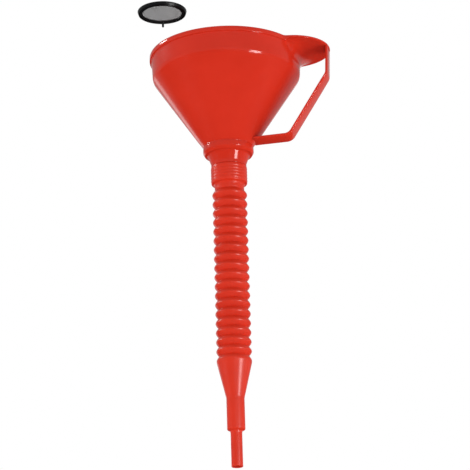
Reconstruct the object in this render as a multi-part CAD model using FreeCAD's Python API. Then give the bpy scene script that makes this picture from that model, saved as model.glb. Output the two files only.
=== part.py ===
import FreeCAD, Part

import math
import os

# A hand-held filling funnel with a flexible corrugated spout and a lift-out strainer.
# Millimetres. The origin is the centre of the mouth, in the plane of the rim's top edge.
# +Z points up out of the mouth and +X points to the handle. The spout hangs straight down.

# ---- driving dimensions -------------------------------------------------------------------
RIM_R = 80.0                # outside of the rolled lip, for a mouth 160 mm across
TOTAL_LENGTH = 440.0        # from the rim's top edge to the nozzle's end
WALL = 1.8                  # wall of the moulded bowl

LIP_HEIGHT = 5.2
LIP_TOP_ROUND = 1.0
LIP_FOOT_ROUND = 0.6
ROUND_BULGE = 0.3           # how far a quarter round stays inside its corner, per radius
SIDE_TOP_R = 78.3           # outside of the short upright side, just below the lip
SIDE_FOOT_R = 77.0
SIDE_FOOT_Z = -25.3         # where the side turns into the cone
CONE_SLOPE = 0.6617         # radius lost per millimetre of depth
SHOULDER_FILLET = 6.0

COLLAR_R = 26.0
COLLAR_TOP_Z = -102.4
COLLAR_FOOT_Z = -111.6
COLLAR_FOOT_R = 24.8
TAPER_TOP_R = 21.0
TAPER_FLARE = 0.8           # the taper's flare into the collar's underside
TAPER_TOP_Z = -113.0
TAPER_MIDDLE_R = 18.85
TAPER_FOOT_R = 18.1
TAPER_FOOT_Z = -124.4
SPIGOT_R = 16.3             # the stub that the spout's cuff is pushed onto
SPIGOT_BORE_R = 14.3
SPIGOT_FOOT_Z = -141.0
SPIGOT_CHAMFER = 0.8
SUMP_R = 22.9               # pocket inside the collar, below the strainer's seat
SUMP_FOOT_Z = -109.0
THROAT_TOP_R = 17.4         # the outlet narrows from here to the spigot's bore
THROAT_TOP_Z = -112.2
THROAT_FOOT_Z = -122.4

# the pouring ear, a shallow lobe of the rim on the handle's side
EAR_CENTRE_X = 69.4
EAR_R = 40.6
EAR_EDGE = 2.0
EAR_THROAT_R = 7.9          # where its underside turns down into the bowl's side
EAR_THROAT_Z = -15.5

# the strap handle, a flat band in the XZ plane, as (x, z) of its middle line
STRAP_TOP = (107.9, -1.2)
STRAP_ELBOW = (106.4, -32.2)
STRAP_HEEL = (65.3, -96.3)
STRAP_END = (20.0, -97.4)
STRAP_THICK = 2.4
STRAP_ELBOW_R = 9.0
STRAP_HEEL_R = 9.0
STRAP_WIDTH_TOP = 16.0
STRAP_WIDTH_FOOT = 21.0
STRAP_EDGE_R = 0.7

# the spout
RUN_CLEARANCE = 0.06        # radial, between the spigot and the cuff that turns on it
PART_GAP = 0.3              # between faces that only come close
CUFF_R = 18.5
CUFF_TOP_Z = TAPER_FOOT_Z - PART_GAP
CUFF_FOOT_Z = -143.0
CUFF_RIBS = 5
CUFF_RIB_HEIGHT = 0.3
CUFF_RIB_WIDTH = 1.4
CUFF_TOP_CHAMFER = 0.5
CUFF_FOOT_ROUND = 1.2
CUFF_NECK_R = 16.7
CUFF_NECK_FOOT_Z = -146.4
BEAD_Z = -132.0             # retaining bead inside the cuff, in the spigot's groove
BEAD_HEIGHT = 0.5
BEAD_HALF = 0.6
BEAD_RAMP = 0.5
GROOVE_HALF = 1.0
RINGS = 18
PITCH = 9.81
FIRST_VALLEY_Z = -150.4     # first of the RINGS + 1 flexing valleys
CREST_R = 17.9
VALLEY_R = 15.0
CREST_ROUND = 1.6
CREST_SINK = 0.3            # the crest's round starts this far inside the flanks' corner
CREST_FLAT = 0.6            # half the height of the crest's inside
BALL_R = 13.9               # each valley is a ball lip inside a socket lip, on one centre
SOCKET_R = 14.1
BALL_ABOVE = 1.45           # the ball lip's reach above and below the hinge plane
BALL_BELOW = 1.9
SOCKET_BELOW = 1.5
HOSE_BORE_R = 12.8
HOSE_WALL = 1.1

NOZZLE_SHOULDER_R = 17.7
NOZZLE_SHOULDER_Z = -332.8
NOZZLE_NECK_Z = -330.4      # where the shoulder's round starts
NOZZLE_BREAK_Z = -334.4     # and where it ends on the cone
NOZZLE_CONE_FOOT_Z = -370.0
TUBE_1_R = 9.1
TUBE_1_FOOT_Z = -401.5
STEP_FOOT_Z = -404.5
STEP_TOP_Z = -402.9         # where the two rounds of the step meet
TUBE_2_R = 5.8
NOZZLE_WALL = 1.2
TIP_ROUND = 0.6

# the strainer, drawn where it is held, lifted out of the bowl
LIFTED_AT = (-65.1, -10.8, 51.0)
FRAME_TOP_R = 26.0
FRAME_FOOT_R = 25.0
FRAME_HEIGHT = 3.6
FRAME_TOP_ROUND = 0.7
FRAME_OPENING_R = 21.5
FRAME_LEDGE_R = 20.6        # the ledge that carries the mesh
FRAME_LEDGE = 1.2
PEG_R = 1.2
PEG_REACH = 5.0
PEG_ROUND = 0.4
PEG_AT_R = 21.4
PEG_AZIMUTH = 99.4          # degrees
MESH_R = 21.4
MESH_THICK = 0.5
MESH_PITCH = 2.8
MESH_HOLE = 2.1
MESH_BORDER = 0.7

UP = FreeCAD.Vector(0, 0, 1)


def cone_r(z):
    """Outside radius of the bowl's cone at a height."""
    return SIDE_FOOT_R + CONE_SLOPE * (z - SIDE_FOOT_Z)


def flat_wall():
    """The wall's thickness measured level, where the wall is the cone."""
    return WALL * math.hypot(1.0, CONE_SLOPE)


class Outline:
    """A closed outline of straight runs and arcs in the XZ plane, x being the radius."""

    def __init__(self, r, z):
        self.start = self.here = FreeCAD.Vector(r, 0, z)
        self.edges = []

    def line(self, r, z):
        there = FreeCAD.Vector(r, 0, z)
        self.edges.append(Part.LineSegment(self.here, there).toShape())
        self.here = there
        return self

    def arc(self, through, to):
        middle = FreeCAD.Vector(through[0], 0, through[1])
        there = FreeCAD.Vector(to[0], 0, to[1])
        self.edges.append(Part.Arc(self.here, middle, there).toShape())
        self.here = there
        return self

    def face(self):
        if not self.here.isEqual(self.start, 1e-6):
            self.line(self.start.x, self.start.z)
        return Part.Face(Part.Wire(self.edges))

    def turned(self, centre_x=0.0):
        """The solid that the outline sweeps out about the vertical line x = centre_x."""
        return self.face().revolve(FreeCAD.Vector(centre_x, 0, 0), UP, 360)


def on_sphere(radius, height):
    """Radius of a sphere's section at a height above its centre."""
    return math.sqrt(radius * radius - height * height)


def save(shape, node):
    if len(shape.Solids) == 1:
        shape = shape.Solids[0]
    shape.exportStep("parts/" + node + ".step")
    box = shape.BoundBox
    print(f"{node:18s} {shape.Volume:10.1f} mm3  solids {len(shape.Solids)}  valid {shape.isValid()}"
          f"  x {box.XMin:.1f} {box.XMax:.1f}  z {box.ZMin:.1f} {box.ZMax:.1f}")


# ---- bowl ---------------------------------------------------------------------------------
def shoulder_points(r_offset, z_foot):
    """Where the fillet between the upright side and the cone starts, bends and ends."""
    reach = SHOULDER_FILLET * math.tan(math.atan(CONE_SLOPE) / 2 + math.radians(45) / 2) / 2
    side = (SIDE_TOP_R - SIDE_FOOT_R) / (LIP_HEIGHT + SIDE_FOOT_Z)
    high = (SIDE_FOOT_R - r_offset - side * reach, z_foot + reach)
    drop = reach / math.hypot(1.0, CONE_SLOPE)
    low = (SIDE_FOOT_R - r_offset - CONE_SLOPE * drop, z_foot - drop)
    corner = SIDE_FOOT_R - r_offset
    middle = ((high[0] + low[0]) / 4 + corner / 2, (high[1] + low[1]) / 4 + z_foot / 2)
    return high, middle, low


def bowl_outside():
    high, middle, low = shoulder_points(0.0, SIDE_FOOT_Z)
    top_in = ROUND_BULGE * LIP_TOP_ROUND
    foot_in = ROUND_BULGE * LIP_FOOT_ROUND
    groove_r = SPIGOT_R - BEAD_HEIGHT - 0.1
    shape = Outline(0, 0)
    shape.line(RIM_R - LIP_TOP_ROUND, 0)
    shape.arc((RIM_R - top_in, -top_in), (RIM_R, -LIP_TOP_ROUND))
    shape.line(RIM_R, LIP_FOOT_ROUND - LIP_HEIGHT)
    shape.arc((RIM_R - foot_in, foot_in - LIP_HEIGHT), (RIM_R - LIP_FOOT_ROUND, -LIP_HEIGHT))
    shape.line(SIDE_TOP_R, -LIP_HEIGHT)
    shape.line(*high)
    shape.arc(middle, low)
    shape.line(cone_r(COLLAR_TOP_Z), COLLAR_TOP_Z)
    shape.arc((COLLAR_R, (COLLAR_TOP_Z + COLLAR_FOOT_Z) / 2), (COLLAR_FOOT_R, COLLAR_FOOT_Z))
    shape.line(TAPER_TOP_R + TAPER_FLARE, COLLAR_FOOT_Z)
    shape.line(TAPER_TOP_R, TAPER_TOP_Z)
    shape.arc((TAPER_MIDDLE_R, (TAPER_TOP_Z + TAPER_FOOT_Z) / 2), (TAPER_FOOT_R, TAPER_FOOT_Z))
    shape.line(SPIGOT_R, TAPER_FOOT_Z)
    shape.line(SPIGOT_R, BEAD_Z + GROOVE_HALF + BEAD_RAMP)
    shape.line(groove_r, BEAD_Z + GROOVE_HALF)
    shape.line(groove_r, BEAD_Z - GROOVE_HALF)
    shape.line(SPIGOT_R, BEAD_Z - GROOVE_HALF - BEAD_RAMP)
    shape.line(SPIGOT_R, SPIGOT_FOOT_Z + SPIGOT_CHAMFER)
    shape.line(SPIGOT_R - SPIGOT_CHAMFER, SPIGOT_FOOT_Z)
    shape.line(0, SPIGOT_FOOT_Z)
    return shape.turned()


def bowl_inside():
    """The space that the bowl, its sump and its outlet hold."""
    above = 1.0
    level = flat_wall()
    z_foot = SIDE_FOOT_Z + WALL * 0.6
    high, middle, low = shoulder_points(WALL, z_foot)
    sump_z = (SUMP_R + level - SIDE_FOOT_R) / CONE_SLOPE + SIDE_FOOT_Z
    inner_low = (cone_r(low[1]) - level, low[1])
    shape = Outline(0, above)
    shape.line(SIDE_TOP_R - WALL, above)
    shape.line(SIDE_TOP_R - WALL, -LIP_HEIGHT)
    shape.line(*high)
    shape.arc(middle, inner_low)
    shape.line(SUMP_R, sump_z)
    shape.line(SUMP_R, SUMP_FOOT_Z)
    shape.line(THROAT_TOP_R, THROAT_TOP_Z)
    shape.line(SPIGOT_BORE_R, THROAT_FOOT_Z)
    shape.line(SPIGOT_BORE_R, SPIGOT_FOOT_Z - above)
    shape.line(0, SPIGOT_FOOT_Z - above)
    return shape.turned()


def ear(skin, rim_top):
    """The ear as a shallow dish about its own upright axis: its inside, grown by a skin."""
    throat_r = EAR_CENTRE_X + EAR_THROAT_R + skin - EAR_EDGE
    throat_z = EAR_THROAT_Z + EAR_EDGE - skin
    shape = Outline(EAR_CENTRE_X, rim_top)
    shape.line(EAR_CENTRE_X + EAR_R, rim_top)
    shape.line(EAR_CENTRE_X + EAR_R, -skin)
    shape.line(EAR_CENTRE_X + EAR_R / 2 + skin, -2.0 - skin)
    shape.arc((throat_r + 3.2, (throat_z - skin) / 2 + 0.6), (throat_r, throat_z))
    shape.line(EAR_CENTRE_X, throat_z)
    return shape.turned(EAR_CENTRE_X)


def funnel_bowl():
    outside = bowl_outside().fuse(ear(EAR_EDGE, 0.0)).removeSplitter()
    inside = bowl_inside().fuse(ear(0.0, 1.0)).removeSplitter()
    return outside.cut(inside).removeSplitter()


# ---- handle -------------------------------------------------------------------------------
def rounded_path(points, radii):
    """Straight runs through the points, each inner corner turned by an arc of its radius."""
    edges = []
    last = FreeCAD.Vector(points[0][0], 0, points[0][1])
    for before, corner, after, radius in zip(points, points[1:], points[2:], radii):
        knee = FreeCAD.Vector(corner[0], 0, corner[1])
        back = (FreeCAD.Vector(before[0], 0, before[1]) - knee).normalize()
        on = (FreeCAD.Vector(after[0], 0, after[1]) - knee).normalize()
        half = back.getAngle(on) / 2
        reach = radius / math.tan(half)
        middle = (back + on).normalize() * (radius / math.sin(half) - radius)
        edges.append(Part.LineSegment(last, knee + back * reach).toShape())
        edges.append(Part.Arc(knee + back * reach, knee + middle, knee + on * reach).toShape())
        last = knee + on * reach
    end = FreeCAD.Vector(points[-1][0], 0, points[-1][1])
    edges.append(Part.LineSegment(last, end).toShape())
    return Part.Wire(edges)


def handle_strap():
    """The band, as wide as its front view says, trimmed where it meets the bowl."""
    path = rounded_path((STRAP_TOP, STRAP_ELBOW, STRAP_HEEL, STRAP_END),
                        (STRAP_ELBOW_R, STRAP_HEEL_R))
    half = STRAP_THICK / 2
    start = FreeCAD.Vector(STRAP_TOP[0], 0, STRAP_TOP[1])
    widest = STRAP_WIDTH_FOOT
    corners = [FreeCAD.Vector(x, y, 0) for x, y in
               ((-half, -widest / 2), (half, -widest / 2), (half, widest / 2), (-half, widest / 2))]
    section = Part.makePolygon([start + c for c in corners + corners[:1]])
    band = path.makePipeShell([section], True, False)
    low, high = STRAP_HEEL[1], STRAP_ELBOW[1]
    front = Part.makePolygon([FreeCAD.Vector(0, y, z) for y, z in (
        (-STRAP_WIDTH_TOP / 2, 5), (-STRAP_WIDTH_TOP / 2, high + 8), (-widest / 2, high - 12),
        (-widest / 2, low - 20), (widest / 2, low - 20), (widest / 2, high - 12),
        (STRAP_WIDTH_TOP / 2, high + 8), (STRAP_WIDTH_TOP / 2, 5), (-STRAP_WIDTH_TOP / 2, 5))])
    view = Part.Face(front).extrude(FreeCAD.Vector(RIM_R * 2, 0, 0))
    band = band.common(view).removeSplitter()
    band = band.cut(bowl_outside()).cut(ear(EAR_EDGE, 5.0)).removeSplitter()
    near_edge = STRAP_WIDTH_TOP / 2 - 0.5
    long_edges = [e for e in band.Edges
                  if e.BoundBox.YMin > near_edge or e.BoundBox.YMax < -near_edge]
    return band.makeFillet(STRAP_EDGE_R, long_edges)


# ---- spout --------------------------------------------------------------------------------
def ball_lip(shape, hinge_z):
    """Carries an outline from the outside wall round the ball lip below it, to the bore."""
    top = hinge_z + BALL_ABOVE
    foot = hinge_z - BALL_BELOW
    shape.line(VALLEY_R, top)
    shape.line(on_sphere(BALL_R, BALL_ABOVE), top)
    shape.arc((BALL_R, hinge_z), (on_sphere(BALL_R, BALL_BELOW), foot))
    shape.line(HOSE_BORE_R, foot)
    return shape


def socket_lip(shape, hinge_z):
    """Carries an outline from the inside wall round the socket lip above it, to its edge."""
    foot = hinge_z - SOCKET_BELOW
    shape.line(on_sphere(SOCKET_R, SOCKET_BELOW), foot)
    middle = SOCKET_BELOW / 2
    shape.arc((on_sphere(SOCKET_R, middle), hinge_z - middle), (SOCKET_R, hinge_z))
    return shape


def spout_cuff():
    """Slides over the spigot, turns on it, and carries the first flexing valley."""
    pitch = (CUFF_TOP_Z - 0.8 - CUFF_FOOT_Z - 1.4) / CUFF_RIBS
    bore = SPIGOT_R + RUN_CLEARANCE
    shape = Outline(bore, CUFF_TOP_Z)
    shape.line(CUFF_R - CUFF_TOP_CHAMFER, CUFF_TOP_Z)
    shape.line(CUFF_R, CUFF_TOP_Z - CUFF_TOP_CHAMFER)
    for n in range(CUFF_RIBS):
        z = CUFF_TOP_Z - 0.8 - pitch * (n + 0.5)
        shape.line(CUFF_R, z + CUFF_RIB_WIDTH / 2)
        shape.arc((CUFF_R + CUFF_RIB_HEIGHT, z), (CUFF_R, z - CUFF_RIB_WIDTH / 2))
    shape.line(CUFF_R, CUFF_FOOT_Z + CUFF_FOOT_ROUND)
    foot_in = ROUND_BULGE * CUFF_FOOT_ROUND
    shape.arc((CUFF_R - foot_in, CUFF_FOOT_Z + foot_in), (CUFF_R - CUFF_FOOT_ROUND, CUFF_FOOT_Z))
    shape.line(CUFF_NECK_R, CUFF_FOOT_Z)
    shape.arc((VALLEY_R + 0.5, CUFF_FOOT_Z - 1.2), (VALLEY_R, CUFF_NECK_FOOT_Z))
    ball_lip(shape, FIRST_VALLEY_Z)
    shape.line(HOSE_BORE_R, SPIGOT_FOOT_Z - 2.0)
    shape.line(bore, SPIGOT_FOOT_Z - PART_GAP)
    shape.line(bore, BEAD_Z - BEAD_HALF - BEAD_RAMP)
    shape.line(bore - BEAD_HEIGHT, BEAD_Z - BEAD_HALF)
    shape.line(bore - BEAD_HEIGHT, BEAD_Z + BEAD_HALF)
    shape.line(bore, BEAD_Z + BEAD_HALF + BEAD_RAMP)
    return shape.turned()


def hose_ring(top_valley_z):
    """One convolution, from the valley above it to the valley below."""
    crest_z = top_valley_z - PITCH / 2
    foot_valley_z = top_valley_z - PITCH
    run = (CREST_R - VALLEY_R) / (PITCH / 2)
    crest_edge_r = CREST_R - run * CREST_ROUND / 2 - CREST_SINK
    inner_crest_r = CREST_R - HOSE_WALL
    shape = Outline(SOCKET_R, top_valley_z)
    shape.line(VALLEY_R, top_valley_z)
    shape.line(crest_edge_r, crest_z + CREST_ROUND)
    shape.arc((CREST_R, crest_z), (crest_edge_r, crest_z - CREST_ROUND))
    ball_lip(shape, foot_valley_z)
    shape.line(HOSE_BORE_R, foot_valley_z + BALL_ABOVE + HOSE_WALL)
    shape.line(inner_crest_r, crest_z - CREST_FLAT)
    shape.line(inner_crest_r, crest_z + CREST_FLAT)
    socket_lip(shape, top_valley_z)
    return shape.turned()


def nozzle(top_valley_z):
    """Shoulder, cone and the two stepped tubes that go into a filler neck."""
    step_mid_r = (TUBE_1_R + TUBE_2_R) / 2
    inner_shoulder_r = NOZZLE_SHOULDER_R - HOSE_WALL - 0.4
    shape = Outline(SOCKET_R, top_valley_z)
    shape.line(VALLEY_R, top_valley_z)
    shape.line(NOZZLE_SHOULDER_R - 1.0, NOZZLE_NECK_Z)
    shape.arc((NOZZLE_SHOULDER_R, NOZZLE_SHOULDER_Z + 0.4), (NOZZLE_SHOULDER_R - 0.35, NOZZLE_BREAK_Z))
    shape.line(TUBE_1_R, NOZZLE_CONE_FOOT_Z)
    shape.line(TUBE_1_R, TUBE_1_FOOT_Z + 0.2)
    shape.arc((TUBE_1_R - 0.45, TUBE_1_FOOT_Z - 0.9), (step_mid_r, STEP_TOP_Z))
    shape.arc((TUBE_2_R + 0.3, STEP_FOOT_Z + 0.7), (TUBE_2_R, STEP_FOOT_Z - 0.4))
    shape.line(TUBE_2_R, -TOTAL_LENGTH + TIP_ROUND)
    shape.line(TUBE_2_R - TIP_ROUND, -TOTAL_LENGTH)
    shape.line(TUBE_2_R - NOZZLE_WALL, -TOTAL_LENGTH)
    shape.line(TUBE_2_R - NOZZLE_WALL, STEP_FOOT_Z)
    shape.line(TUBE_1_R - NOZZLE_WALL, TUBE_1_FOOT_Z + 0.6)
    shape.line(TUBE_1_R - NOZZLE_WALL, NOZZLE_CONE_FOOT_Z)
    shape.line(inner_shoulder_r, NOZZLE_SHOULDER_Z - 0.6)
    shape.line(inner_shoulder_r, NOZZLE_SHOULDER_Z + 0.9)
    socket_lip(shape, top_valley_z)
    return shape.turned()


# ---- strainer -----------------------------------------------------------------------------
def strainer_frame():
    """The ring that sits in the cone above the outlet, with a locating peg below it."""
    shape = Outline(FRAME_OPENING_R, FRAME_HEIGHT)
    top_in = ROUND_BULGE * FRAME_TOP_ROUND
    shape.line(FRAME_TOP_R - FRAME_TOP_ROUND, FRAME_HEIGHT)
    shape.arc((FRAME_TOP_R - top_in, FRAME_HEIGHT - top_in), (FRAME_TOP_R, FRAME_HEIGHT - FRAME_TOP_ROUND))
    shape.line(FRAME_FOOT_R, 0)
    shape.line(FRAME_LEDGE_R, 0)
    shape.line(FRAME_LEDGE_R, FRAME_LEDGE)
    shape.line(FRAME_OPENING_R, FRAME_LEDGE)
    ring = shape.turned()
    angle = math.radians(PEG_AZIMUTH)
    spot = FreeCAD.Vector(PEG_AT_R * math.cos(angle), PEG_AT_R * math.sin(angle), -PEG_REACH)
    peg = Part.makeCylinder(PEG_R, PEG_REACH + 0.5, spot)
    tip = [e for e in peg.Edges if e.BoundBox.ZMax < 0.01 - PEG_REACH]
    peg = peg.makeFillet(PEG_ROUND, tip)
    return ring.fuse(peg).removeSplitter()


def strainer_mesh():
    """The mesh on the frame's ledge, as a thin disc with a square grid of holes."""
    disc = Part.makeCylinder(MESH_R, MESH_THICK, FreeCAD.Vector(0, 0, FRAME_LEDGE))
    reach = int(MESH_R / MESH_PITCH) + 1
    holes = []
    for i in range(-reach, reach + 1):
        for j in range(-reach, reach + 1):
            x, y = i * MESH_PITCH, j * MESH_PITCH
            corner = math.hypot(abs(x) + MESH_HOLE / 2, abs(y) + MESH_HOLE / 2)
            if corner < MESH_R - MESH_BORDER:
                spot = FreeCAD.Vector(x - MESH_HOLE / 2, y - MESH_HOLE / 2, 0)
                holes.append(Part.makeBox(MESH_HOLE, MESH_HOLE, FRAME_HEIGHT, spot))
    return disc.cut(Part.makeCompound(holes))


def lifted(shape):
    shape.translate(FreeCAD.Vector(*LIFTED_AT))
    return shape


os.makedirs("parts", exist_ok=True)
save(funnel_bowl(), "funnel_bowl")
save(handle_strap(), "handle_strap")
save(spout_cuff(), "spout_cuff")
for index in range(RINGS):
    save(hose_ring(FIRST_VALLEY_Z - PITCH * index), f"hose_ring_{index + 1:02d}")
save(nozzle(FIRST_VALLEY_Z - PITCH * RINGS), "nozzle")
save(lifted(strainer_frame()), "strainer_frame")
save(lifted(strainer_mesh()), "strainer_mesh")
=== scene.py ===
import math

import bmesh
import bpy
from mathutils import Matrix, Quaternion, Vector


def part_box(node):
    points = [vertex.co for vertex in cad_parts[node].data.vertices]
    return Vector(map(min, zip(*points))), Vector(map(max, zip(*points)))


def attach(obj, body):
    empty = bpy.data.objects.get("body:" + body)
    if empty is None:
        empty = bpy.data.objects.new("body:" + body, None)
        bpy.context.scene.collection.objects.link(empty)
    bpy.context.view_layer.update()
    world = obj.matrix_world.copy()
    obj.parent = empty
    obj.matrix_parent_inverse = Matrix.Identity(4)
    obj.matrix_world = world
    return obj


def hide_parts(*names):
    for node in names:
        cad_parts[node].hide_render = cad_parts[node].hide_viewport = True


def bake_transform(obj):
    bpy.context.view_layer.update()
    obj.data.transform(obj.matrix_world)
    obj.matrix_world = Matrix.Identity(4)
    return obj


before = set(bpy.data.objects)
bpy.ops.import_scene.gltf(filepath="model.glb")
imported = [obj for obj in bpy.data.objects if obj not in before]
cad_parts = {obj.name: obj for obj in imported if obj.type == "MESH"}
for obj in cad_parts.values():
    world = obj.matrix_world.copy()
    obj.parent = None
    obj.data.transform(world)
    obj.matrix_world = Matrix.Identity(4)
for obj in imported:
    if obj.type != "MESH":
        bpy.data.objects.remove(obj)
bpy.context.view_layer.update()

# ---- places and sizes read from the frame, in metres --------------------------------------
bowl_low, bowl_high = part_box("funnel_bowl")
strap_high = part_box("handle_strap")[1]
cuff_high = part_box("spout_cuff")[1]
nozzle_low, nozzle_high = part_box("nozzle")
ring_names = sorted(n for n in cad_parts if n.startswith("hose_ring_"))
ring_boxes = [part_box(n) for n in ring_names]
strainer_low, strainer_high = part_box("strainer_frame")
mesh_low, mesh_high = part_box("strainer_mesh")

RIM_R = bowl_high.y
EAR_TIP_X = bowl_high.x
SPIGOT_FOOT_Z = bowl_low.z
CUFF_TOP_Z = cuff_high.z
CREST_R = ring_boxes[0][1].y
VALLEY_Z = [box[1].z for box in ring_boxes] + [nozzle_high.z]
PITCH = VALLEY_Z[0] - VALLEY_Z[1]
NOZZLE_R = nozzle_high.y
TIP_Z = nozzle_low.z
FRAME_R = (strainer_high.x - strainer_low.x) / 2
STRAINER_X = (strainer_high.x + strainer_low.x) / 2
STRAINER_Y = (strainer_high.y + strainer_low.y) / 2
FRAME_TOP_Z = strainer_high.z
MESH_Z = (mesh_low.z + mesh_high.z) / 2

# ---- sizes that the frame doesn't hold, in metres ------------------------------------------
WALL = 0.0018
LIP_HEIGHT = 0.0052
LIP_COVE = 0.0004
SIDE_TOP_R = 0.0783
SIDE_FOOT_R = 0.0770
SIDE_FOOT_Z = -0.0253
SIDE_BEND_R = 0.0110
SIDE_BEND_TOP_Z = -0.0182
SIDE_BEND_FOOT_Z = -0.0380
INNER_BEND_R = 0.0100
INNER_BEND_TOP_Z = -0.0190
CONE_SLOPE = 0.6617
CONE_START_Z = -0.0924
CONE_ROWS_Z = (-0.0700, -0.0500)
COLLAR_TOP_Z = -0.1024
COLLAR_FOOT_Z = -0.1116
COLLAR_R = 0.0260
TAPER_TOP_R = 0.0210
TAPER_FOOT_R = 0.0181
TAPER_FOOT_Z = -0.1244
SPIGOT_R = 0.0163
SPIGOT_BORE_R = 0.0143
SUMP_R = 0.0235

EAR_CENTRE_X = 0.0694
EAR_R = EAR_TIP_X - EAR_CENTRE_X
EAR_EDGE = 0.0020
EAR_DROP = 0.0150
EAR_CORNER = 0.0060
EAR_CURL = 2.4
EAR_EDGE_REACH = 0.0060
EAR_DROP_REACH = 0.0220
EAR_INSIDE_DROP = 0.86

STRAP_HALF_THICK = 0.0012
STRAP_CORNER_R = 0.0008
STRAP_BEND_R = 0.0090
STRAP_STEP = 0.0040
STRAP_HALF_WIDE_TOP = 0.0098
STRAP_HALF_WIDE_GAIN = 0.0006
STRAP_WIDEN_TOP_Z = -0.0260
STRAP_WIDEN_LENGTH = 0.0200
STRAP_TOP_IN = 0.0001
STRAP_TOP_Z = -0.0012
STRAP_ELBOW_IN = 0.0015
STRAP_ELBOW_Z = -0.0322
STRAP_HEEL_X = 0.0653
STRAP_HEEL_Z = -0.0965
STRAP_TOE_X = 0.0270
STRAP_TOE_Z = -0.0975

CUFF_R = 0.0185
CUFF_FOOT_Z = -0.1430
CUFF_RIBS = 5
CUFF_RIB_HALF = 0.0009
CUFF_RIB_HEIGHT = 0.0003
CUFF_NECK_Z = CUFF_FOOT_Z - 0.0040
CUFF_BORE_R = SPIGOT_R + 0.00006
HOSE_WALL = 0.0011
VALLEY_R = 0.0149
NECK_R = VALLEY_R + 0.0002
NECK_RISE = 0.0015
CREST_SOFT = 0.30
HOSE_BORE_R = 0.0128

TUBE_1_R = 0.0091
TUBE_1_FOOT_Z = -0.4015
NOZZLE_CONE_FOOT_Z = -0.3700
TUBE_2_R = 0.0058
NOZZLE_WALL = 0.0012

PEG_FROM_AXIS = 0.0220
PEG_TURN = math.radians(99.4)
PEG_SIDES = 20
WEAVE_PITCH = 0.0011
WIRE_R = 0.00016
WIRE_SIDES = 6

EAR_STEPS = 14
HOSE_STEPS = 12
ROUND_COLUMNS = 256
HOSE_COLUMNS = 128
FRAME_COLUMNS = 160


def cone_r(z):
    """Outside radius of the cone."""
    return SIDE_FOOT_R + CONE_SLOPE * (z - SIDE_FOOT_Z)


# ---- mesh helpers -------------------------------------------------------------------------
def rounded(corners, steps=6):
    """Points of a closed outline from (r, z, radius) corners, where a radius of 0 leaves a corner sharp."""
    points = []
    for i, (r, z, radius) in enumerate(corners):
        here = Vector((r, z))
        before = Vector(corners[i - 1][:2])
        after = Vector(corners[(i + 1) % len(corners)][:2])
        back, on = (before - here), (after - here)
        if radius <= 0:
            points.append((r, z))
            continue
        half = back.angle(on) / 2
        reach = min(radius / math.tan(half), back.length * 0.49, on.length * 0.49)
        true_radius = reach * math.tan(half)
        middle = here + (back.normalized() + on.normalized()).normalized() * (true_radius / math.sin(half))
        first = here + back.normalized() * reach - middle
        last = here + on.normalized() * reach - middle
        turn = first.angle_signed(last)
        for k in range(steps + 1):
            angle = -turn * k / steps
            c, s = math.cos(angle), math.sin(angle)
            points.append((middle.x + first.x * c - first.y * s, middle.y + first.x * s + first.y * c))
    return points


def add_band(made, a, b):
    """Quads between two closed rows of corners."""
    for j in range(len(a)):
        k = (j + 1) % len(a)
        made.faces.new((a[j], a[k], b[k], b[j]))


def add_rod(made, rows):
    """A skin over closed rows of points, with a face at each end."""
    grid = [[made.verts.new(p) for p in row] for row in rows]
    for a, b in zip(grid, grid[1:]):
        add_band(made, a, b)
    made.faces.new(grid[0])
    made.faces.new(grid[-1])


def ring_mesh(name, rows):
    """A skin over closed rows of points, with the last row joined to the first."""
    made = bmesh.new()
    grid = [[made.verts.new(p) for p in row] for row in rows]
    for a, b in zip(grid, grid[1:] + grid[:1]):
        add_band(made, a, b)
    return finished(name, made)


def rod_mesh(name, rows):
    """An object of one rod."""
    made = bmesh.new()
    add_rod(made, rows)
    return finished(name, made)


def finished(name, made, sharp=35):
    """An object from new faces, smooth where they meet at less than the sharp angle."""
    bmesh.ops.recalc_face_normals(made, faces=made.faces)
    mesh = bpy.data.meshes.new(name)
    made.to_mesh(mesh)
    made.free()
    mesh.shade_smooth()
    mesh.set_sharp_from_angle(angle=math.radians(sharp))
    piece = bpy.data.objects.new(name, mesh)
    bpy.context.scene.collection.objects.link(piece)
    return piece


def lathe(name, outline, columns=ROUND_COLUMNS, centre=(0.0, 0.0)):
    """A closed outline turned about an upright line."""
    turns = [2 * math.pi * j / columns for j in range(columns)]
    rows = [[(centre[0] + r * math.cos(a), centre[1] + r * math.sin(a), z) for a in turns]
            for r, z in outline]
    return ring_mesh(name, rows)


def dressed(piece, material, slot, body, *stands_for):
    """Gives a piece its material, the body it rides and the nodes it replaces; the slot is not used."""
    piece.data.materials.append(material)
    if body:
        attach(piece, body)
    if stands_for:
        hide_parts(*stands_for)


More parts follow.
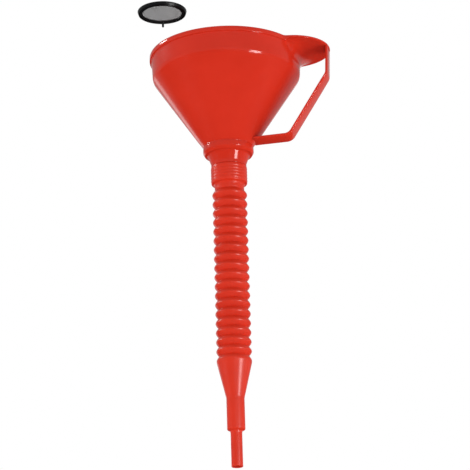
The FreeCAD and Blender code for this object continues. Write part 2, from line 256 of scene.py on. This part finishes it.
# ---- materials ----------------------------------------------------------------------------
class Nodes:
    """A material's node tree, with the nodes that the materials below share."""

    def __init__(self, name):
        self.material = bpy.data.materials.new(name)
        self.material.use_nodes = True
        self.tree = self.material.node_tree
        self.shader = self.tree.nodes["Principled BSDF"]
        self.coordinates = self.add("ShaderNodeTexCoord")

    def add(self, kind, **values):
        node = self.tree.nodes.new(kind)
        for key, value in values.items():
            if key in node.inputs:
                node.inputs[key].default_value = value
            else:
                setattr(node, key, value)
        return node

    def link(self, source, target):
        self.tree.links.new(source, target)

    def noise(self, scale, detail=3.0, stretch=(1, 1, 1)):
        mapping = self.add("ShaderNodeMapping")
        mapping.inputs["Scale"].default_value = stretch
        self.link(self.coordinates.outputs["Object"], mapping.inputs["Vector"])
        noise = self.add("ShaderNodeTexNoise", Scale=scale, Detail=detail)
        self.link(mapping.outputs["Vector"], noise.inputs["Vector"])
        return noise.outputs["Fac"]

    def between(self, factor, low, high):
        ramp = self.add("ShaderNodeMapRange")
        ramp.inputs["To Min"].default_value = low
        ramp.inputs["To Max"].default_value = high
        self.link(factor, ramp.inputs["Value"])
        return ramp.outputs["Result"]

    def tint(self, factor, dark, light):
        ramp = self.add("ShaderNodeValToRGB")
        ramp.color_ramp.elements[0].position = 0.3
        ramp.color_ramp.elements[1].position = 0.7
        ramp.color_ramp.elements[0].color = (*dark, 1)
        ramp.color_ramp.elements[1].color = (*light, 1)
        self.link(factor, ramp.inputs["Fac"])
        return ramp.outputs["Color"]

    def bump(self, height, strength, distance, before=None):
        bump = self.add("ShaderNodeBump", Strength=strength, Distance=distance)
        self.link(height, bump.inputs["Height"])
        if before is not None:
            self.link(before, bump.inputs["Normal"])
        return bump.outputs["Normal"]


def red_plastic(name, dark, light, rough_low, rough_high, grain, depth):
    """Dyed polyethylene: deep even red, a soft gloss, faint flow marks and a fine skin."""
    n = Nodes(name)
    shader = n.shader.inputs
    n.link(n.tint(n.noise(22, 4), dark, light), shader["Base Color"])
    n.link(n.between(n.noise(90, 5), rough_low, rough_high), shader["Roughness"])
    flow = n.bump(n.noise(16, 2, (1, 1, 0.35)), 0.10, 0.002)
    n.link(n.bump(n.noise(1400, 2), grain, 0.0002, flow), shader["Normal"])
    shader["Specular IOR Level"].default_value = 0.36
    shader["Subsurface Weight"].default_value = depth
    shader["Subsurface Radius"].default_value = (1.0, 0.25, 0.15)
    shader["Subsurface Scale"].default_value = 0.006
    return n.material


def black_plastic():
    """A near-black moulding with a half gloss."""
    n = Nodes("black_plastic")
    shader = n.shader.inputs
    n.link(n.tint(n.noise(60, 4), (0.004, 0.004, 0.005), (0.009, 0.009, 0.010)), shader["Base Color"])
    n.link(n.between(n.noise(220, 4), 0.24, 0.36), shader["Roughness"])
    shader["Specular IOR Level"].default_value = 0.25
    n.link(n.bump(n.noise(1800, 3), 0.25, 0.0003), shader["Normal"])
    return n.material


def woven_wire():
    """Dull grey metal wire."""
    n = Nodes("woven_wire")
    shader = n.shader.inputs
    n.link(n.tint(n.noise(900, 3), (0.16, 0.175, 0.185), (0.31, 0.33, 0.345)), shader["Base Color"])
    n.link(n.between(n.noise(1500, 3), 0.32, 0.52), shader["Roughness"])
    n.link(n.bump(n.noise(4000, 2), 0.2, 0.0001), shader["Normal"])
    shader["Metallic"].default_value = 0.85
    return n.material


BOWL_RED = red_plastic("bowl_red", (0.62, 0.027, 0.011), (0.68, 0.032, 0.014), 0.10, 0.15, 0.08, 0.10)
SPOUT_RED = red_plastic("spout_red", (0.68, 0.028, 0.009), (0.75, 0.034, 0.012), 0.26, 0.32, 0.12, 0.05)
BLACK = black_plastic()
WIRE = woven_wire()


# ---- bowl ---------------------------------------------------------------------------------
def smooth(t):
    """From 0 to 1 with level ends."""
    t = min(max(t, 0.0), 1.0)
    return t * t * (3 - 2 * t)


def rim_reach(angle):
    """How far the rim stands out at an azimuth: the round lip, or the ear where it is further."""
    side = EAR_CENTRE_X * math.sin(angle)
    ear = 0.0
    if math.cos(angle) > 0 and abs(side) < EAR_R:
        ear = EAR_CENTRE_X * math.cos(angle) + math.sqrt(EAR_R ** 2 - side ** 2)
    near = max(EAR_CORNER - abs(RIM_R - ear), 0.0) / EAR_CORNER
    return max(RIM_R, ear) + near ** 3 * EAR_CORNER / 6


def side_r(z):
    """Outside radius of the upright side."""
    return SIDE_TOP_R + (SIDE_TOP_R - SIDE_FOOT_R) * (z + LIP_HEIGHT) / (-LIP_HEIGHT - SIDE_FOOT_Z)


def levels(start, end, count):
    """Evenly spaced values between a start and an end, without either."""
    return [start + (end - start) * k / count for k in range(1, count)]


def flare(inner, outer, low, high, count):
    """Points from an upright wall, curling out to a level edge."""
    points = []
    for k in range(count + 1):
        t = (k / count) ** 1.5
        drop = 1 - (1 - (1 - t) ** EAR_CURL) ** (1 / EAR_CURL)
        points.append((inner + (outer - inner) * t, high + (low - high) * drop))
    return points


def outside_below():
    """The bowl's outside from the stub's foot up to its upright side."""
    foot = rounded((
        (SPIGOT_BORE_R, SPIGOT_FOOT_Z, 0.0005), (SPIGOT_R, SPIGOT_FOOT_Z, 0.0007),
        (SPIGOT_R, TAPER_FOOT_Z, 0.0002), (TAPER_FOOT_R, TAPER_FOOT_Z, 0.0004),
        (TAPER_FOOT_R + 0.0002, TAPER_FOOT_Z + 0.0034, 0.0060),
        (TAPER_TOP_R + 0.0004, COLLAR_FOOT_Z - 0.0010, 0.0006),
        (TAPER_TOP_R + 0.0014, COLLAR_FOOT_Z - 0.0002, 0.0006),
        (COLLAR_R - 0.0016, COLLAR_FOOT_Z, 0.0012), (COLLAR_R + 0.0002, COLLAR_FOOT_Z + 0.0030, 0.0030),
        (COLLAR_R + 0.0001, COLLAR_TOP_Z - 0.0016, 0.0020),
        (cone_r(COLLAR_TOP_Z) - 0.0004, COLLAR_TOP_Z, 0.0003), (cone_r(CONE_START_Z), CONE_START_Z, 0)))[1:-1]
    cone = [(cone_r(z), z) for z in (CONE_START_Z, *CONE_ROWS_Z, SIDE_BEND_FOOT_Z)]
    bend = rounded((
        (cone_r(SIDE_BEND_FOOT_Z), SIDE_BEND_FOOT_Z, 0), (SIDE_FOOT_R, SIDE_FOOT_Z, SIDE_BEND_R),
        (side_r(SIDE_BEND_TOP_Z), SIDE_BEND_TOP_Z, 0)), 10)[1:-1]
    return foot + cone + bend


def inside_below():
    """The bowl's inside from its upright side down to the stub's foot, through the sump."""
    level = WALL * math.hypot(1, CONE_SLOPE)
    return rounded((
        (side_r(INNER_BEND_TOP_Z) - WALL, INNER_BEND_TOP_Z, 0),
        (SIDE_FOOT_R - WALL, SIDE_FOOT_Z + 0.0007, INNER_BEND_R),
        (SUMP_R, (SUMP_R + level - SIDE_FOOT_R) / CONE_SLOPE + SIDE_FOOT_Z, 0.0006),
        (SUMP_R, COLLAR_FOOT_Z + 0.0026, 0.0008), (TAPER_TOP_R - 0.0036, COLLAR_FOOT_Z - 0.0006, 0.0016),
        (SPIGOT_BORE_R, TAPER_FOOT_Z + 0.0020, 0.0016), (SPIGOT_BORE_R, SPIGOT_FOOT_Z + 0.0040, 0)))


def over_the_rim(angle):
    """The bowl's section at an azimuth: up its side, out to the lip or the ear's edge and down inside."""
    reach = rim_reach(angle)
    out = reach - RIM_R
    ear = smooth(out / EAR_EDGE_REACH)
    lip = LIP_HEIGHT + (EAR_EDGE - LIP_HEIGHT) * ear
    drop = LIP_COVE + EAR_DROP * smooth(out / EAR_DROP_REACH)
    top_out = -lip - drop
    top_in = -0.0006 - drop * EAR_INSIDE_DROP
    outer_side = [(side_r(z), z) for z in levels(SIDE_BEND_TOP_Z, top_out, 6)]
    under = flare(side_r(top_out), reach - 0.0006, top_out, -lip, EAR_STEPS)
    edge = [(reach - 0.00018, -lip + 0.00018), (reach, -lip + 0.0006), (reach, -0.0009),
            (reach - 0.00026, -0.00026), (reach - 0.0009, 0.0)]
    over = flare(side_r(top_out) - WALL + 0.0003, reach - 0.0024, top_in, -0.0001 * ear, EAR_STEPS)[::-1]
    inner_side = [(side_r(z) - WALL, z) for z in levels(top_in, INNER_BEND_TOP_Z, 6)]
    return outer_side + under + edge + over + inner_side


def make_bowl():
    """Bowl, ear, collar and stub in one skin, its section worked out at each azimuth."""
    columns = ROUND_COLUMNS * 3 // 2
    turns = [2 * math.pi * j / columns for j in range(columns)]
    outside, inside = outside_below(), inside_below()
    sections = [outside + over_the_rim((turn + math.pi) % (2 * math.pi) - math.pi) + inside for turn in turns]
    rows = [[(s[i][0] * math.cos(a), s[i][0] * math.sin(a), s[i][1]) for s, a in zip(sections, turns)]
            for i in range(len(sections[0]))]
    dressed(ring_mesh("bowl", rows), BOWL_RED, "bowl", "bowl", "funnel_bowl")


# ---- handle -------------------------------------------------------------------------------
def strap_route():
    """(x, z) points along the strap's middle, from the ear's tip to the foot of the cone."""
    top_x = strap_high.x - STRAP_HALF_THICK
    corners = ((top_x - STRAP_TOP_IN, STRAP_TOP_Z, 0), (top_x - STRAP_ELBOW_IN, STRAP_ELBOW_Z, STRAP_BEND_R),
               (STRAP_HEEL_X, STRAP_HEEL_Z, STRAP_BEND_R), (STRAP_TOE_X, STRAP_TOE_Z, 0))
    bends = [rounded(((*before[:2], 0), corner, (*after[:2], 0)), 10)[1:-1]
             for before, corner, after in zip(corners, corners[1:], corners[2:])]
    turns = [corners[0][:2], *(p for bend in bends for p in bend), corners[-1][:2]]
    route = []
    for (x0, z0), (x1, z1) in zip(turns, turns[1:]):
        count = max(1, round(math.hypot(x1 - x0, z1 - z0) / STRAP_STEP))
        route += [(x0 + (x1 - x0) * k / count, z0 + (z1 - z0) * k / count) for k in range(count)]
    return route + [turns[-1]]


def make_strap():
    """A flat band with rounded edges, swept along its route and a little wider below."""
    route = strap_route()
    rows = []
    for i, (x, z) in enumerate(route):
        ahead, behind = route[min(i + 1, len(route) - 1)], route[max(i - 1, 0)]
        along = Vector((ahead[0] - behind[0], ahead[1] - behind[1])).normalized()
        down = smooth((STRAP_WIDEN_TOP_Z - z) / STRAP_WIDEN_LENGTH)
        wide = STRAP_HALF_WIDE_TOP + STRAP_HALF_WIDE_GAIN * down
        section = rounded([(w * wide, t * STRAP_HALF_THICK, STRAP_CORNER_R)
                           for w, t in ((-1, -1), (1, -1), (1, 1), (-1, 1))], 4)
        rows.append([(x - along.y * t, w, z + along.x * t) for w, t in section])
    dressed(rod_mesh("strap", rows), BOWL_RED, "bowl", "bowl", "handle_strap")


# ---- spout --------------------------------------------------------------------------------
def wave_r(z, crest_z, crest_r=CREST_R):
    """Outside radius of the corrugated hose: round crests and sharp valleys."""
    u = min(abs(z - crest_z) / (PITCH / 2), 1.0)
    fall = (math.hypot(u, CREST_SOFT) - CREST_SOFT) / (math.hypot(1.0, CREST_SOFT) - CREST_SOFT)
    return VALLEY_R + (crest_r - VALLEY_R) * (1 - fall)


def make_cuff():
    """The cuff that turns on the stub, down to the middle of its neck."""
    pitch = (CUFF_TOP_Z - CUFF_FOOT_Z - 0.0022) / CUFF_RIBS
    ribs = []
    for n in range(CUFF_RIBS):
        z = CUFF_TOP_Z - 0.0008 - pitch * (n + 0.5)
        ribs += [(CUFF_R, z + CUFF_RIB_HALF, 0.0003), (CUFF_R + CUFF_RIB_HEIGHT, z, 0.0006),
                 (CUFF_R, z - CUFF_RIB_HALF, 0.0003)]
    outline = rounded((
        (CUFF_BORE_R, CUFF_TOP_Z, 0.0003), (CUFF_R, CUFF_TOP_Z, 0.0006), *ribs,
        (CUFF_R, CUFF_FOOT_Z, 0.0016), (VALLEY_R + 0.0012, CUFF_FOOT_Z - 0.0006, 0.0012),
        (NECK_R, CUFF_FOOT_Z - 0.0028, 0.0010), (NECK_R, CUFF_NECK_Z, 0),
        (HOSE_BORE_R + 0.0008, CUFF_NECK_Z, 0), (HOSE_BORE_R + 0.0010, SPIGOT_FOOT_Z - 0.0016, 0.0006),
        (CUFF_BORE_R, SPIGOT_FOOT_Z - 0.0003, 0.0003)), 4)
    dressed(lathe("spout_cuff_skin", outline), SPOUT_RED, "spout", "spout_cuff", "spout_cuff")


def hose_span(index):
    """(top z, foot z) of the skin round one valley: from crest to crest, or to the neck or shoulder."""
    top = CUFF_NECK_Z if index == 0 else VALLEY_Z[index] + PITCH / 2
    foot = VALLEY_Z[index] - PITCH / 2
    return top, foot


def hose_r(z, index):
    """Outside radius of the skin round one valley."""
    valley = VALLEY_Z[index]
    if z < valley:
        return wave_r(z, valley - PITCH / 2, NOZZLE_R if index == len(ring_names) else CREST_R)
    if index == 0:
        return VALLEY_R + (NECK_R - VALLEY_R) * smooth((z - valley) / NECK_RISE)
    return wave_r(z, valley + PITCH / 2)


def make_hose():
    """One skin round each valley, attached to no body."""
    for index, valley in enumerate(VALLEY_Z):
        top, foot = hose_span(index)
        heights = [top, *levels(top, valley, HOSE_STEPS), valley, *levels(valley, foot, HOSE_STEPS), foot]
        outside = [(hose_r(z, index), z) for z in heights]
        inside = [(max(r - HOSE_WALL, HOSE_BORE_R), z) for r, z in outside]
        skin = lathe(f"hose_skin_{index + 1:02d}", outside + inside[::-1], HOSE_COLUMNS)
        stands_for = ring_names[index:index + 1]
        dressed(skin, SPOUT_RED, "spout", None, *stands_for)
        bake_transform(skin)


def make_nozzle():
    """The spout's last crest, its cone and the two stepped tubes."""
    shoulder_z = VALLEY_Z[-1] - PITCH / 2
    outline = rounded((
        (NOZZLE_R - HOSE_WALL - 0.0004, shoulder_z, 0), (NOZZLE_R, shoulder_z, 0),
        (NOZZLE_R, shoulder_z - 0.0014, 0.0016),
        (TUBE_1_R, NOZZLE_CONE_FOOT_Z, 0.0120), (TUBE_1_R, TUBE_1_FOOT_Z - 0.0008, 0.0014),
        (TUBE_2_R + 0.0004, TUBE_1_FOOT_Z - 0.0022, 0.0010), (TUBE_2_R, TUBE_1_FOOT_Z - 0.0046, 0.0016),
        (TUBE_2_R, TIP_Z, 0.0005), (TUBE_2_R - NOZZLE_WALL, TIP_Z, 0.0004),
        (TUBE_2_R - NOZZLE_WALL, TUBE_1_FOOT_Z - 0.0030, 0.0010),
        (TUBE_1_R - NOZZLE_WALL, TUBE_1_FOOT_Z + 0.0006, 0.0010),
        (TUBE_1_R - NOZZLE_WALL, NOZZLE_CONE_FOOT_Z, 0.0080),
        (NOZZLE_R - HOSE_WALL - 0.0004, shoulder_z - 0.0014, 0.0010)), 6)
    dressed(lathe("nozzle_skin", outline, HOSE_COLUMNS), SPOUT_RED, "spout", "nozzle", "nozzle")


# ---- strainer -----------------------------------------------------------------------------
def make_strainer():
    """The black ring with a groove under it, and the peg it carries."""
    foot = mesh_low.z - 0.0012
    opening = (mesh_high.x - mesh_low.x) / 2 + 0.0001
    outline = rounded((
        (opening - 0.0009, foot, 0.0003), (FRAME_R - 0.0034, foot, 0.0002),
        (FRAME_R - 0.0031, foot + 0.0007, 0.0002), (FRAME_R - 0.0016, foot + 0.0007, 0.0002),
        (FRAME_R - 0.0013, foot, 0.0002), (FRAME_R - 0.0010, foot, 0.0004),
        (FRAME_R, FRAME_TOP_Z - 0.0006, 0.0006), (FRAME_R - 0.0006, FRAME_TOP_Z, 0.0005),
        (opening + 0.0014, FRAME_TOP_Z, 0.0005), (opening, MESH_Z + 0.0003, 0.0003),
        (opening - 0.0009, MESH_Z, 0.0002)), 4)
    ring = lathe("strainer_ring", outline, FRAME_COLUMNS, (STRAINER_X, STRAINER_Y))
    dressed(ring, BLACK, "strainer_frame", "strainer", "strainer_frame")
    peg_x = STRAINER_X + PEG_FROM_AXIS * math.cos(PEG_TURN)
    peg_y = STRAINER_Y + PEG_FROM_AXIS * math.sin(PEG_TURN)
    turns = [2 * math.pi * k / PEG_SIDES for k in range(PEG_SIDES)]
    rows = [[(peg_x + r * math.cos(a), peg_y + r * math.sin(a), z) for a in turns] for r, z in (
        (0.0017, foot + 0.0004), (0.0014, foot - 0.0003), (0.0012, foot - 0.0012),
        (0.0011, strainer_low.z + 0.0006), (0.0009, strainer_low.z + 0.00015), (0.0005, strainer_low.z))]
    dressed(rod_mesh("strainer_peg", rows), BLACK, "strainer_frame", "strainer")


def wire_rows(index, along_x, reach):
    """Rows of points round one wire of the weave, which rises and falls past each wire it crosses."""
    across = index * WEAVE_PITCH
    half = math.sqrt(reach ** 2 - across ** 2)
    steps = max(4, round(half * 2 / WEAVE_PITCH * 3))
    side_first = 1 if (index % 2 == 0) == along_x else -1
    rows = []
    for k in range(steps + 1):
        s = -half + 2 * half * k / steps
        z = MESH_Z + WIRE_R * 0.9 * math.cos(math.pi * s / WEAVE_PITCH) * side_first
        row = []
        for m in range(WIRE_SIDES):
            a = 2 * math.pi * m / WIRE_SIDES
            side = across + WIRE_R * math.cos(a)
            x, y = (s, side) if along_x else (side, s)
            row.append((STRAINER_X + x, STRAINER_Y + y, z + WIRE_R * math.sin(a)))
        rows.append(row)
    return rows


def make_weave():
    """Plain-woven wires, each passing over and under the ones that cross it."""
    reach = (mesh_high.x - mesh_low.x) / 2 - 0.0002
    count = int(reach / WEAVE_PITCH)
    made = bmesh.new()
    for along_x in (True, False):
        for index in range(-count, count + 1):
            add_rod(made, wire_rows(index, along_x, reach))
    dressed(finished("strainer_weave", made, sharp=60), WIRE, "strainer_mesh", "strainer", "strainer_mesh")


# ---- camera, light and surroundings --------------------------------------------------------
CAMERA_DISTANCE = 2.1592
CAMERA_DROP = 0.94395
CAMERA_AZIMUTH = 9.44
CAMERA_PITCH = 19.06
CAMERA_ROLL = 1.62
CAMERA_SHIFT = 0.008936
FOCAL_IN_WIDTHS = 4.759362
SENSOR = 36.0

ROOM_GREY = 0.36
ROOM_DARK = 0.05
ROOM_DARK_SINE, ROOM_GREY_SINE = -0.20, -0.04
BACKDROP_WHITE, BACKDROP_EDGE = 9.5, 15
FLOOR_HALF = 100.0
FLOOR_Z = -2.6
FLOOR_GLOW = 0.30

LAMP_AIM = Vector((0, 0, -0.2))
# name, degrees round from the camera, elevation, distance, width, height, radiance, mirrored
LAMPS = (
    ("front_fill", 12, -3, 2.6, 1.6, 1.6, 2.8, False),
    ("left_fill", -74, -14, 2.6, 1.6, 1.6, 2.9, False),
    ("right_fill", 92, -14, 2.6, 3.0, 1.6, 2.4, False),
    ("right_strip", 46, -12, 2.2, 0.60, 0.85, 16, True),
    ("left_strip", -106, 30.5, 2.0, 0.50, 0.18, 32, True),
    ("left_back", -149, 2, 2.2, 0.60, 0.70, 1.0, True),
)


def direction(azimuth, elevation):
    """Unit vector from the object towards an azimuth and elevation, in degrees."""
    a, e = math.radians(azimuth), math.radians(elevation)
    return Vector((math.sin(a) * math.cos(e), -math.cos(a) * math.cos(e), math.sin(e)))


FORWARD = -direction(CAMERA_AZIMUTH, -CAMERA_PITCH)


def make_camera():
    """A long lens below the rim's level, looking up and leaning a little."""
    data = bpy.data.cameras.new("camera")
    data.sensor_width = SENSOR
    data.lens = SENSOR * FOCAL_IN_WIDTHS
    data.shift_x = CAMERA_SHIFT
    data.clip_start, data.clip_end = 0.05, 300
    camera = bpy.data.objects.new("camera", data)
    bpy.context.scene.collection.objects.link(camera)
    camera.location = direction(CAMERA_AZIMUTH, 0) * CAMERA_DISTANCE - Vector((0, 0, CAMERA_DROP))
    camera.rotation_mode = "QUATERNION"
    roll = Quaternion(FORWARD, math.radians(CAMERA_ROLL))
    camera.rotation_quaternion = roll @ FORWARD.to_track_quat("-Z", "Y")
    bpy.context.scene.camera = camera


def make_lamp(name, azimuth, elevation, distance, width, height, radiance, mirrored):
    """A soft box aimed at the object: either mirrored in it, or lighting it without being mirrored."""
    data = bpy.data.lights.new(name, "AREA")
    data.shape = "RECTANGLE"
    data.size, data.size_y = width, height
    data.energy = radiance * math.pi * width * height
    lamp = bpy.data.objects.new(name, data)
    bpy.context.scene.collection.objects.link(lamp)
    lamp.location = LAMP_AIM + direction(CAMERA_AZIMUTH + azimuth, elevation) * distance
    lamp.rotation_mode = "QUATERNION"
    lamp.rotation_quaternion = (LAMP_AIM - lamp.location).to_track_quat("-Z", "Y")
    lamp.visible_glossy, lamp.visible_diffuse = mirrored, not mirrored


def make_room():
    """White straight behind the object, grey all round it and dark below the horizon."""
    world = bpy.data.worlds.new("studio")
    bpy.context.scene.world = world
    world.use_nodes = True
    nodes, link = world.node_tree.nodes, world.node_tree.links.new
    towards = nodes.new("ShaderNodeTexCoord").outputs["Generated"]

    def ramp(value, start, end, low, high):
        node = nodes.new("ShaderNodeMapRange")
        for key, number in (("From Min", start), ("From Max", end), ("To Min", low), ("To Max", high)):
            node.inputs[key].default_value = number
        link(value, node.inputs["Value"])
        return node

    facing = nodes.new("ShaderNodeVectorMath")
    facing.operation = "DOT_PRODUCT"
    facing.inputs[1].default_value = FORWARD
    link(towards, facing.inputs[0])
    edge, white = (math.cos(math.radians(angle)) for angle in (BACKDROP_EDGE, BACKDROP_WHITE))
    backdrop = ramp(facing.outputs["Value"], edge, white, ROOM_GREY, 1.0)
    backdrop.interpolation_type = "SMOOTHSTEP"
    height = nodes.new("ShaderNodeSeparateXYZ")
    link(towards, height.inputs[0])
    horizon = ramp(height.outputs["Z"], ROOM_DARK_SINE, ROOM_GREY_SINE, ROOM_DARK, 1.0)
    shade = nodes.new("ShaderNodeMath")
    shade.operation = "MULTIPLY"
    link(backdrop.outputs["Result"], shade.inputs[0])
    link(horizon.outputs["Result"], shade.inputs[1])
    link(shade.outputs["Value"], nodes["Background"].inputs["Color"])


def make_floor():
    """A wide pale floor well below the object, with a glow of its own."""
    made = bmesh.new()
    made.faces.new([made.verts.new((x * FLOOR_HALF, y * FLOOR_HALF, FLOOR_Z))
                    for x, y in ((-1, -1), (1, -1), (1, 1), (-1, 1))])
    floor = finished("floor", made)
    paint = Nodes("floor_paint")
    shader = paint.shader.inputs
    paint.link(paint.tint(paint.noise(3, 2), (0.80, 0.80, 0.79), (0.84, 0.84, 0.83)), shader["Base Color"])
    shader["Roughness"].default_value = 0.7
    shader["Emission Color"].default_value = (1, 1, 1, 1)
    shader["Emission Strength"].default_value = FLOOR_GLOW
    floor.data.materials.append(paint.material)
    floor.visible_glossy = False


make_bowl()
make_strap()
make_cuff()
make_hose()
make_nozzle()
make_strainer()
make_weave()
make_camera()
make_room()
make_floor()
for lamp in LAMPS:
    make_lamp(*lamp)
bpy.context.scene.view_settings.view_transform = "Standard"
